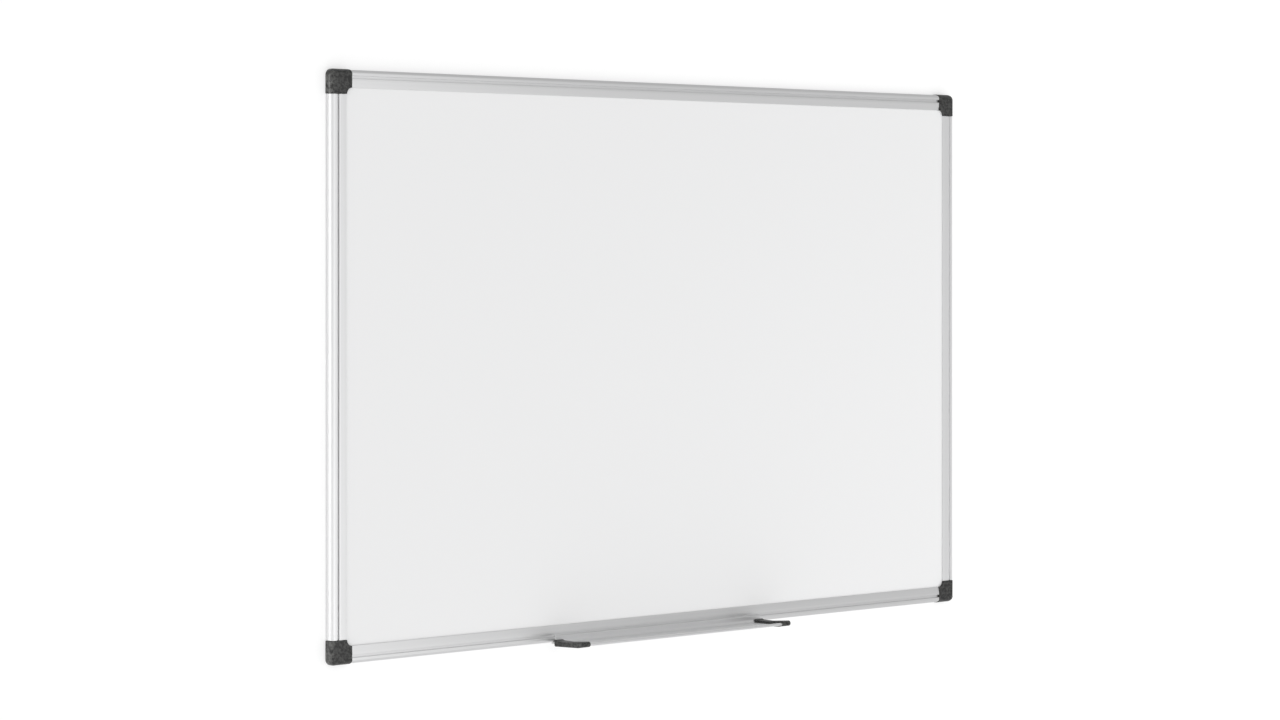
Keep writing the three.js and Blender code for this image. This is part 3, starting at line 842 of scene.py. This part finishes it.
# %% Wall screws
SCREW_INSET = 7.3 * MM
SCREW_RADIUS, SCREW_CORE = 2 * MM, 1.35 * MM
SCREW_LENGTH, SCREW_TIP, SCREW_PITCH = 40 * MM, 5 * MM, 1.8 * MM
HEAD_RADIUS, HEAD_RIM, HEAD_SUNK = 3.8 * MM, 0.4 * MM, 1.3 * MM
RECESS_SPAN, RECESS_WIDTH, RECESS_DEPTH = 4 * MM, 0.9 * MM, 1.6 * MM
RECESS_TAPER, RECESS_ARM_END = 0.45, 0.9
POINT_RADIUS = 0.05 * MM
SHANK, SHANK_RADIUS = 6 * MM, 1.12 * SCREW_CORE
THREAD_ROWS, THREAD_SIDES = 180, 28
HEAD_TOP = CAVITY_TOP - SEAT_GAP - HEAD_SUNK
HEAD_BASE = HEAD_TOP - HEAD_RIM - (HEAD_RADIUS - SCREW_RADIUS)


def wall_screw():
    """Threaded, countersunk screw. Ridge: the third power of a triangle wave of height over
    pitch less angle over a full turn, times the depth of the thread and two fades."""
    angle = np.linspace(0, 2 * math.pi, THREAD_SIDES, endpoint=False)
    tip = HEAD_TOP - SCREW_LENGTH
    height = np.linspace(tip, HEAD_BASE - SHANK, THREAD_ROWS)[:, None]
    wave = np.abs(((height - tip) / SCREW_PITCH - angle / (2 * math.pi)) % 1 - 0.5) * 2
    grown = np.clip((height - tip) / SCREW_TIP, 0, 1)
    fade = np.clip((HEAD_BASE - SHANK - height) / SCREW_PITCH, 0, 1)
    core = POINT_RADIUS + (SCREW_CORE - POINT_RADIUS) * np.sqrt(grown)
    ridge = (SCREW_RADIUS - SCREW_CORE) * wave**3 * np.sqrt(grown) * fade
    thread = stood_up((core + ridge) * np.cos(angle), (core + ridge) * np.sin(angle), height)
    profile = [
        (SHANK_RADIUS, HEAD_BASE - SHANK + SCREW_CORE / 4),
        (SHANK_RADIUS, HEAD_BASE - SCREW_CORE / 2),
        (SCREW_RADIUS, HEAD_BASE),
        (HEAD_RADIUS, HEAD_TOP - HEAD_RIM),
        (HEAD_RADIUS, HEAD_TOP - DEBURR),
        (HEAD_RADIUS - DEBURR, HEAD_TOP),
    ]
    head = [stood_up(r * np.cos(angle), r * np.sin(angle), q) for r, q in profile]
    return shaped(loft([*thread, *head]), "DIFFERENCE", cross_recess())


def cross_recess():
    """Cross-shaped plug that narrows downwards and along its arms, to be cut from the head."""
    wide, narrow = RECESS_SPAN / 2, RECESS_WIDTH / 2
    end = narrow * RECESS_ARM_END
    arm = np.array([(wide, -end), (wide, end), (narrow, narrow)])
    turns = [np.array([(c, -s), (s, c)]) for c, s in ((1, 0), (0, 1), (-1, 0), (0, -1))]
    cross = np.concatenate([arm @ turn.T for turn in turns])
    rows = ((HEAD_TOP - RECESS_DEPTH, RECESS_TAPER), (HEAD_TOP, 1.0), (HEAD_TOP + OVERRUN, 1.0))
    return loft([stood_up(cross[:, 0] * share, cross[:, 1] * share, q) for q, share in rows])


INWARDS = [(1, 1), (-1, 1), (-1, -1), (1, -1)]
screw_mesh = wall_screw()
for turns, (name, (x, y), (right, up)) in enumerate(zip(CORNERS, CORNER_PLACES, INWARDS)):
    node = f"wall_screw_{name}"
    screw = placed(screw_mesh, turns, x + right * SCREW_INSET, y + up * SCREW_INSET)
    show(f"{node}_threaded", screw, "board", node, ZINC)

# %% [markdown]
# The pen tray is a second extrusion. Its hook lies in the slot of the bottom rail, its flange
# hangs down the front of the rail with a heel under it, and the shelf runs out, bends up at the
# keel and ends in a round bead that keeps the pens from rolling off.

# %% Pen tray
tray_low, tray_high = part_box("pen_tray")
TRAY_MIDDLE, TRAY_HALF = (tray_low.x + tray_high.x) / 2, (tray_high.x - tray_low.x) / 2
TRAY_THICKNESS = 1.3 * MM
HOOK_LEG, HOOK_GAP, HEEL_REACH = 1.2 * MM, 0.25 * MM, 6.3 * MM
TRAY_ROOT_RADIUS, TRAY_BEND_RADIUS, TRAY_EDGE_RADIUS = 4 * MM, 20 * MM, 0.25 * MM
KEEL_REACH, KEEL_RISE = 39 * MM, 0.8 * MM
BEAD_REACH, BEAD_RISE, BEAD_RADIUS = 44.5 * MM, 1.6 * MM, 1.5 * MM
FLANGE_BACK = RAIL_DEPTH + SEAT_GAP
FLANGE_FRONT = FLANGE_BACK + TRAY_THICKNESS


def shelf_line(above):
    """Root and keel of the shelf, moved up by a distance from its middle, as (height, q)."""
    root = -SEAT_GAP - TRAY_THICKNESS / 2 + above
    return (root, FLANGE_FRONT), (root + KEEL_RISE, FLANGE_FRONT + KEEL_REACH)


def front_arc(y, q, radius, end):
    """Arc about (y, q) from its lowest point round the front to an angle."""
    return [tuple(point) for point in arc(y, q, radius, 2 * QUARTER, end, 2 * SECTION_STEPS)]


def bead_corners(grow):
    """The bead, from below round to where the upper side of the shelf meets it. That angle's
    cosine is the height of the shelf's upper side over the bead's middle, over the radius."""
    radius = BEAD_RADIUS + grow
    shelf_top = TRAY_THICKNESS - BEAD_RADIUS + grow
    return front_arc(BEAD_RISE, FLANGE_FRONT + BEAD_REACH, radius, -math.acos(shelf_top / radius))


def tray_section():
    """Outline of the tray, from the hook down the flange, round the heel and out to the bead."""
    _, (keel_low, keel_q) = shelf_line(-TRAY_THICKNESS / 2)
    (root_high, _), (keel_high, _) = shelf_line(TRAY_THICKNESS / 2)
    hook_back, hook_front = SLOT_FLOOR + HOOK_GAP, RAIL_DEPTH - SLOT_LIP - HOOK_GAP
    hook_low, hook_top = SLOT_START + SEAT_GAP, SLOT_END + SLOT_UNDERCUT - SEAT_GAP
    under = -SEAT_GAP - TRAY_THICKNESS
    return rounded([
        (hook_low, FLANGE_BACK, TRAY_EDGE_RADIUS),
        (-SEAT_GAP, FLANGE_BACK, TRAY_EDGE_RADIUS),
        (-SEAT_GAP, FLANGE_BACK - HEEL_REACH, TRAY_EDGE_RADIUS),
        (under, FLANGE_BACK - HEEL_REACH, TRAY_EDGE_RADIUS),
        (under, FLANGE_FRONT),
        (keel_low, keel_q, TRAY_BEND_RADIUS),
        *bead_corners(0),
        (keel_high, keel_q, TRAY_BEND_RADIUS),
        (root_high, FLANGE_FRONT, TRAY_ROOT_RADIUS),
        (hook_low + HOOK_LEG, FLANGE_FRONT, TRAY_THICKNESS),
        (hook_low + HOOK_LEG, hook_front),
        (hook_top, hook_front, TRAY_EDGE_RADIUS),
        (hook_top, hook_back, TRAY_EDGE_RADIUS),
        (hook_low, hook_back, TRAY_EDGE_RADIUS),
    ], SECTION_STEPS)


tray_body = loft(drawn_out(tray_section(), TRAY_HALF))
extrusion = placed(tray_body, 0, TRAY_MIDDLE, BOARD_BOTTOM)
tray = show(
    "pen_tray_extrusion", extrusion, "tray", "pen_tray", ALUMINIUM_FLAT
)
tray.visible_diffuse = False

# %% [markdown]
# Each end of the tray is closed by a moulded cap. It is drawn for the right end: an end wall with
# softly rounded edges, and a sleeve that grips the shelf from below, round the bead and from
# above, and rises over the fillet at the shelf's root. The slot in the sleeve follows the tray's
# own section with a little clearance, from the bead back to that fillet. The left cap is the
# mirror image.

# %% Tray end caps
CAP_WALL, CAP_SLEEVE, CAP_EDGE = 2 * MM, 9 * MM, 0.5 * MM
CAP_FRONT_WALL, CAP_NOSE_LIFT = 1.1 * MM, 0.5 * MM
CAP_HEEL, CAP_KEEL, CAP_TOP = 3.7 * MM, 1.8 * MM, 4.5 * MM
CAP_ROOT_TOP, CAP_ROOT_CREST, CAP_ROOT_FOOT = 3.4 * MM, 1.6 * MM, 4.4 * MM
CAP_WAIST, CAP_WAIST_TOP = 19.5 * MM, 2.6 * MM
CAP_CORNER_RADIUS, CAP_BEND_RADIUS = 1.5 * MM, 12 * MM


def cap_outline():
    """Outline of a cap: a keel below, a nose round the bead, a waist, and a rise at the root."""
    front = BEAD_RADIUS + SEAT_GAP + CAP_FRONT_WALL
    return rounded([
        (-CAP_HEEL, FLANGE_FRONT, CAP_CORNER_RADIUS),
        (-CAP_KEEL, FLANGE_FRONT + KEEL_REACH, CAP_BEND_RADIUS),
        *front_arc(BEAD_RISE + CAP_NOSE_LIFT, FLANGE_FRONT + BEAD_REACH, front, 0),
        (CAP_TOP, FLANGE_FRONT + KEEL_REACH, CAP_BEND_RADIUS),
        (CAP_WAIST_TOP, FLANGE_FRONT + CAP_WAIST, CAP_BEND_RADIUS),
        (CAP_WAIST_TOP, FLANGE_FRONT + CAP_ROOT_FOOT, CAP_CORNER_RADIUS),
        (CAP_ROOT_TOP, FLANGE_FRONT + CAP_ROOT_CREST, CAP_CORNER_RADIUS),
        (CAP_ROOT_TOP, FLANGE_FRONT, CAP_CORNER_RADIUS),
    ], SECTION_STEPS)


def cap_slot():
    """Outline of the slot for the shelf, its bead and the flange, open to the back."""
    half = TRAY_THICKNESS / 2 + SEAT_GAP
    (root_low, _), (keel_low, keel_q) = shelf_line(-half)
    (root_high, _), (keel_high, _) = shelf_line(half)
    return rounded([
        (root_low, FLANGE_FRONT - OVERRUN),
        (root_low, FLANGE_FRONT),
        (keel_low, keel_q, TRAY_BEND_RADIUS),
        *bead_corners(SEAT_GAP),
        (keel_high, keel_q, TRAY_BEND_RADIUS),
        (root_high, FLANGE_FRONT + SEAT_GAP, TRAY_ROOT_RADIUS - SEAT_GAP),
        (CAP_ROOT_TOP + OVERRUN, FLANGE_FRONT + SEAT_GAP),
        (CAP_ROOT_TOP + OVERRUN, FLANGE_FRONT - OVERRUN),
    ], SECTION_STEPS)


def tray_cap():
    """Cap for the right end. Its end wall starts at x = 0 and its sleeve lies before it. Both
    ends are rounded: there the outline is drawn in by the edge's radius times one less the sine
    of an even angle."""
    outline = cap_outline()
    angle = np.linspace(0, QUARTER, EDGE_STEPS + 1)
    insets, steps = CAP_EDGE * (1 - np.sin(angle)), CAP_EDGE * (1 - np.cos(angle))
    stations = [(-CAP_SLEEVE + step, inset) for step, inset in zip(steps, insets)]
    stations += [(CAP_WALL - step, inset) for step, inset in zip(steps[::-1], insets[::-1])]
    sections = [(x, drawn_in(outline, inset)) for x, inset in stations]
    block = loft([stood_up(x, section[:, 0], section[:, 1]) for x, section in sections])
    slot = cap_slot()
    slot_tool = loft([stood_up(x, slot[:, 0], slot[:, 1]) for x in (-CAP_SLEEVE - OVERRUN, 0)])
    return shaped(block, "DIFFERENCE", slot_tool)


def mirrored(mesh):
    """The mesh with x turned to minus x, and its faces turned to point outwards again."""
    mesh = mesh.copy()
    points = np.zeros(len(mesh.vertices) * 3)
    mesh.vertices.foreach_get("co", points)
    mesh.vertices.foreach_set("co", (points.reshape(-1, 3) * (-1, 1, 1)).ravel())
    return cleaned(mesh)


cap_mesh = tray_cap()
for side, cap_body, way in (("right", cap_mesh, 1), ("left", mirrored(cap_mesh), -1)):
    at_x = TRAY_MIDDLE + way * (TRAY_HALF + SEAT_GAP)
    node, moulding = f"tray_cap_{side}", placed(cap_body, 0, at_x, BOARD_BOTTOM)
    show(f"{node}_moulding", moulding, "tray", node, GRAINED)

# %% [markdown]
# The board hangs on a pale wall over a pale floor. Both are white to the camera and keep a faint
# part of their real shading, so the board's soft shadow stays. They are seen by camera rays
# alone and only from the front, so views from behind look straight through to the back.

# %% Wall and floor
WALL_Y = 0.6 * MM
FLOOR_Z = -1.3
STAGE_REACH = 6.0
SHADING_KEPT, STAGE_GLOW = 0.55, 1.12
WHITE = (1.0, 1.0, 1.0, 1.0)


def stage_material():
    """White by itself with a share of plain diffuse shading, and clear from behind."""
    material = bpy.data.materials.new("pale_stage")
    tree = bare_tree(material)
    paint = add(tree, "ShaderNodeBsdfDiffuse", {"Color": WHITE}).outputs[0]
    glow = add(tree, "ShaderNodeEmission", {"Color": WHITE, "Strength": STAGE_GLOW}).outputs[0]
    front = add(tree, "ShaderNodeMixShader", {0: SHADING_KEPT, 1: glow, 2: paint}).outputs[0]
    clear = add(tree, "ShaderNodeBsdfTransparent").outputs[0]
    behind = add(tree, "ShaderNodeNewGeometry").outputs["Backfacing"]
    seen = add(tree, "ShaderNodeMixShader", {0: behind, 1: front, 2: clear}).outputs[0]
    add(tree, "ShaderNodeOutputMaterial", {"Surface": seen})
    return material


def stage_plane(name, corners):
    """Flat stage surface through four corners, seen by the camera only."""
    mesh = bpy.data.meshes.new(name)
    mesh.from_pydata(corners, [], [(0, 1, 2, 3)])
    mesh.materials.append(STAGE_FINISH)
    plane = new_object(name, mesh)
    plane.visible_diffuse = False
    plane.visible_glossy = False
    plane.visible_shadow = False


STAGE_FINISH = stage_material()
R = STAGE_REACH
stage_plane("wall", [(-R, WALL_Y, FLOOR_Z), (R, WALL_Y, FLOOR_Z), (R, WALL_Y, R), (-R, WALL_Y, R)])
stage_plane("floor", [(-R, -R, FLOOR_Z), (R, -R, FLOOR_Z), (R, R, FLOOR_Z), (-R, R, FLOOR_Z)])
print("Stage: wall and floor")

# %% [markdown]
# The light is a soft studio. Matt surfaces see a plain surround that grows brighter to the left
# and downwards. Two lamps, which mirror rays don't see, help it: a weak one from the lower right,
# and one behind the plane of the wall, which reaches only the faces that look to the left.

# %% Soft surround
SOFT_LEVEL, SOFT_SLOPES = 0.91, (("X", -0.40), ("Z", -0.40))


def step(tree, value, marks, low, high):
    """A ramp between two marks with a smooth start and end."""
    return ramp(tree, value, *marks, low, high, "SMOOTHSTEP")


def soft_level(tree, way):
    """Level for matt surfaces: the middle level plus each slope times the way's part."""
    slopes = [reckon(tree, "MULTIPLY", way[axis], slope) for axis, slope in SOFT_SLOPES]
    return reckon(tree, "ADD", *slopes, SOFT_LEVEL)


# %% [markdown]
# Aluminium shows what it reflects, so mirror rays see a room of their own. It is duller ahead than
# at the left and bright at the far right, its floor is brighter than its upper half and its
# ceiling, and level with the board it has a narrow window at the left. The window draws the bright
# lines on the noses of the upright rails. The marks below are parts of a ray's way: X to the
# right, Y to the wall and Z up.

# %% Room for mirror rays
ROOM_LEFT, ROOM_FRONT, ROOM_RIGHT = 0.70, 0.60, 0.98
FRONT_MARKS, RIGHT_MARKS = (0.3, 0.7), (0.75, 0.95)
SIDE_LEVEL, WINDOW_LEVEL, CORNER_LEVEL = 1.15, 2.9, 0.40
SIDE_MARKS, WINDOW_START, WINDOW_END = (-0.1, 0.2), (0.33, 0.43), (0.57, 0.67)
LEFT_MARKS, LEVEL_MARKS = (-0.1, 0.1), (0.10, 0.20)
ROOM_BELOW, ROOM_ABOVE, ROOM_TURN = 1.16, 0.90, 0.15
CEILING, CEILING_MARKS = 0.88, (0.5, 0.9)


def mirrored_level(tree, way):
    """Level for mirror rays: front and sides added up, times the turn from floor to ceiling."""
    front = step(tree, way["X"], FRONT_MARKS, ROOM_LEFT, ROOM_FRONT)
    right = step(tree, way["X"], RIGHT_MARKS, 0.0, ROOM_RIGHT - ROOM_FRONT)
    side = step(tree, way["Y"], SIDE_MARKS, 0.0, SIDE_LEVEL - ROOM_LEFT)
    window = step(tree, way["Y"], WINDOW_START, 0.0, WINDOW_LEVEL - SIDE_LEVEL)
    corner = step(tree, way["Y"], WINDOW_END, 0.0, CORNER_LEVEL - WINDOW_LEVEL)
    on_left = step(tree, way["X"], LEFT_MARKS, 1.0, 0.0)
    height = reckon(tree, "ABSOLUTE", way["Z"], 0.0)
    on_level = step(tree, height, LEVEL_MARKS, 1.0, 0.0)
    left = reckon(tree, "ADD", side, window, corner)
    left = reckon(tree, "MULTIPLY", left, on_left, on_level)
    downward = ramp(tree, way["Z"], -ROOM_TURN, ROOM_TURN, ROOM_BELOW, ROOM_ABOVE)
    upward = step(tree, way["Z"], CEILING_MARKS, 1.0, CEILING)
    return reckon(tree, "MULTIPLY", reckon(tree, "ADD", front, right, left), downward, upward)


def surround():
    """World: white to the camera, the room to mirror rays and the soft surround to the rest."""
    world = bpy.data.worlds.new("studio")
    tree = bare_tree(world)
    way = add(tree, "ShaderNodeTexCoord").outputs["Generated"]
    way = add(tree, "ShaderNodeSeparateXYZ", {0: way}).outputs
    soft, mirrored, white = [
        add(tree, "ShaderNodeBackground", {"Color": WHITE, "Strength": level}).outputs[0]
        for level in (soft_level(tree, way), mirrored_level(tree, way), 1.0)
    ]
    path = add(tree, "ShaderNodeLightPath").outputs
    plain = reckon(tree, "MAXIMUM", path["Is Camera Ray"], path["Is Transmission Ray"])
    lit = add(tree, "ShaderNodeMixShader", {0: path["Is Glossy Ray"], 1: soft, 2: mirrored})
    mixed = add(tree, "ShaderNodeMixShader", {0: plain, 1: lit.outputs[0], 2: white}).outputs[0]
    add(tree, "ShaderNodeOutputWorld", {"Surface": mixed})
    return world


bpy.context.scene.world = surround()
print("Surround", bpy.context.scene.world.name)

# %% [markdown]
# A lit card hangs in the air before the left half of the board, where only mirror rays find it.
# Its soft right edge makes the flat rails fade from left to right, and it is a little stronger low
# down, so that the bottom rail is brighter than the top one.

# %% Card and lamps
CARD_Y, CARD_LEFT, CARD_HALF = -1.0, -1.6, 1.2
CARD_EDGE, CARD_SOFT = 0.35, 0.45
CARD_BELOW, CARD_ABOVE, CARD_TURN = 1.28, 0.98, 0.5


def card_material():
    """Glow that fades out to the right and is a little stronger low down."""
    material = bpy.data.materials.new("reflector_card")
    tree = bare_tree(material)
    place = add(tree, "ShaderNodeTexCoord").outputs["Object"]
    place = add(tree, "ShaderNodeSeparateXYZ", {0: place}).outputs
    strength = ramp(tree, place["Z"], -CARD_TURN, CARD_TURN, CARD_BELOW, CARD_ABOVE)
    glow = add(tree, "ShaderNodeEmission", {"Color": WHITE, "Strength": strength}).outputs[0]
    clear = add(tree, "ShaderNodeBsdfTransparent").outputs[0]
    gone = step(tree, place["X"], (CARD_EDGE - CARD_SOFT, CARD_EDGE + CARD_SOFT), 0.0, 1.0)
    faded = add(tree, "ShaderNodeMixShader", {0: gone, 1: glow, 2: clear}).outputs[0]
    add(tree, "ShaderNodeOutputMaterial", {"Surface": faded})
    return material


def reflector_card():
    """Card in the air before the board, which only mirror rays see."""
    right, top = CARD_EDGE + CARD_SOFT, CARD_HALF
    corners = [(CARD_LEFT, -top), (right, -top), (right, top), (CARD_LEFT, top)]
    mesh = bpy.data.meshes.new("reflector_card")
    mesh.from_pydata([(x, CARD_Y, z) for x, z in corners], [], [(0, 3, 2, 1)])
    mesh.materials.append(card_material())
    card = new_object("reflector_card", mesh)
    card.visible_camera = False
    card.visible_diffuse = False
    card.visible_transmission = False
    card.visible_shadow = False


def lamp(name, place, aim, size, watts):
    """Area lamp at a place, turned to face a point, which mirror rays don't see."""
    data = bpy.data.lights.new(name, "AREA")
    data.shape = "RECTANGLE"
    data.size, data.size_y = size
    data.energy = watts
    light = new_object(name, data)
    light.location = place
    light.rotation_euler = (Vector(aim) - Vector(place)).to_track_quat("-Z", "Y").to_euler()
    light.visible_glossy = False


reflector_card()
lamp("key", place=(2.0, -1.8, -0.5), aim=(0, 0, 0), size=(1.6, 1.2), watts=10)
lamp("left_side", place=(-2.2, 0.35, 0.1), aim=(-0.45, 0, 0), size=(0.6, 1.6), watts=60)

# %% [markdown]
# The picture is shown through the Standard view transform, so the colours keep their written
# values.

bpy.context.scene.view_settings.view_transform = "Standard"
